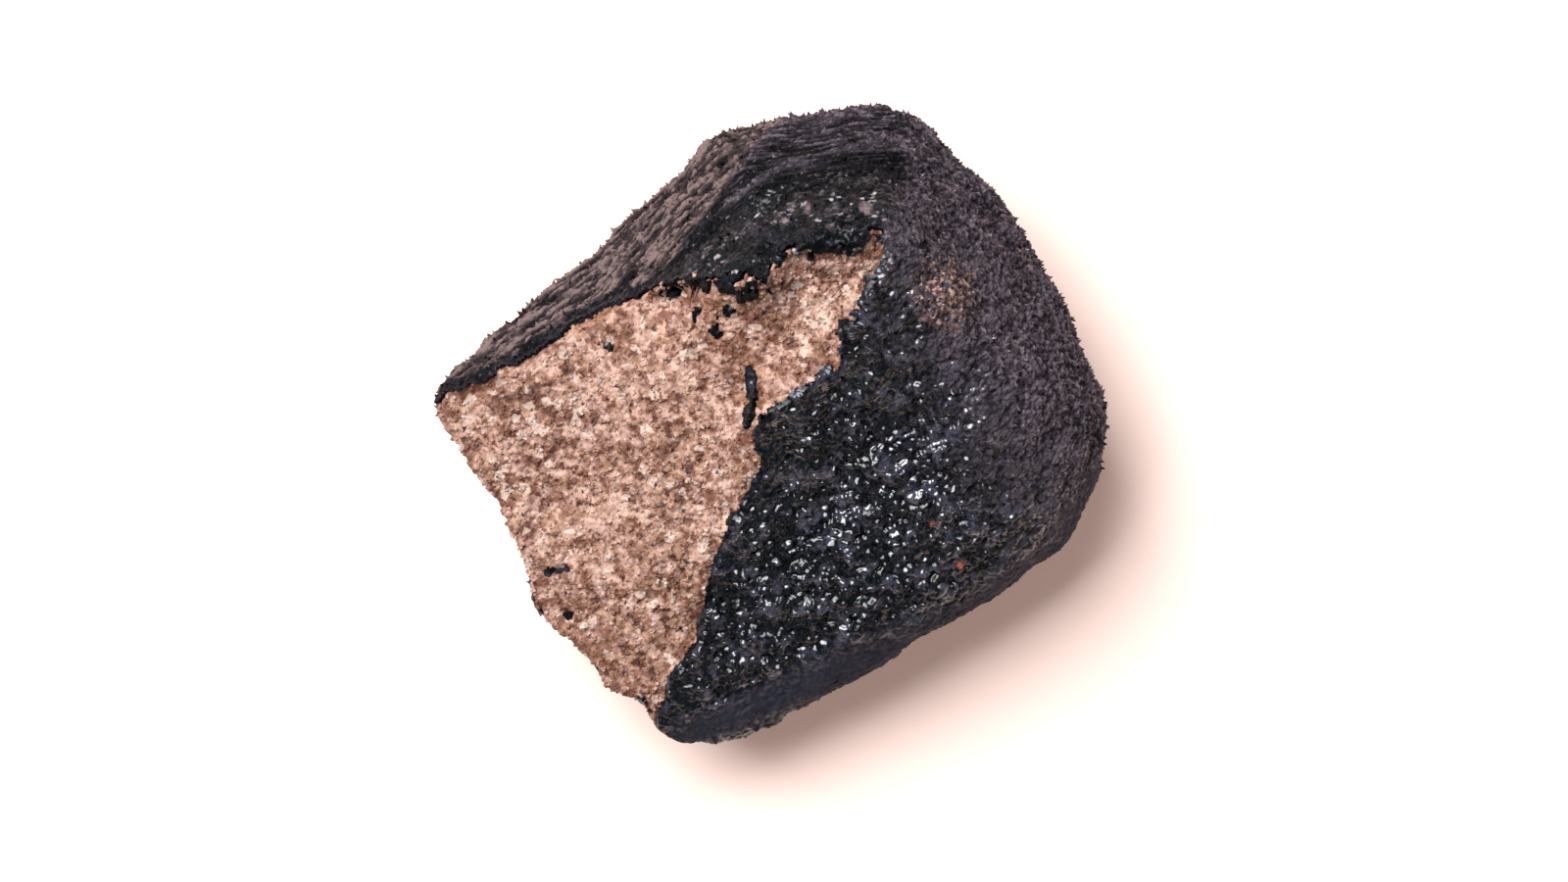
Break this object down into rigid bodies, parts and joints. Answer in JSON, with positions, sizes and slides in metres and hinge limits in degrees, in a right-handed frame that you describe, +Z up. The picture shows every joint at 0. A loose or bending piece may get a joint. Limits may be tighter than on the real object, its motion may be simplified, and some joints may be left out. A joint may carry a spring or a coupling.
{
  "type": "stony meteorite fragment",
  "caption": "Angular stony meteorite fragment in a lumpy black fusion crust, with one pale granular broken face, resting on a small flat spot.",
  "frame": {"origin": "on the floor, under the middle of the stone's plan", "axes": "+X along the stone's longest extent, from the thin end of the broken face towards the rounded crusted end; +Z up from the flat resting spot"},
  "size_m": [0.0409, 0.0389, 0.0216],
  "materials": {
    "fusion_crust": "satin",
    "broken_stone": "matte"
  },
  "bodies": {
    "root": {"meteorite": "fusion_crust"}
  },
  "joints": []
}
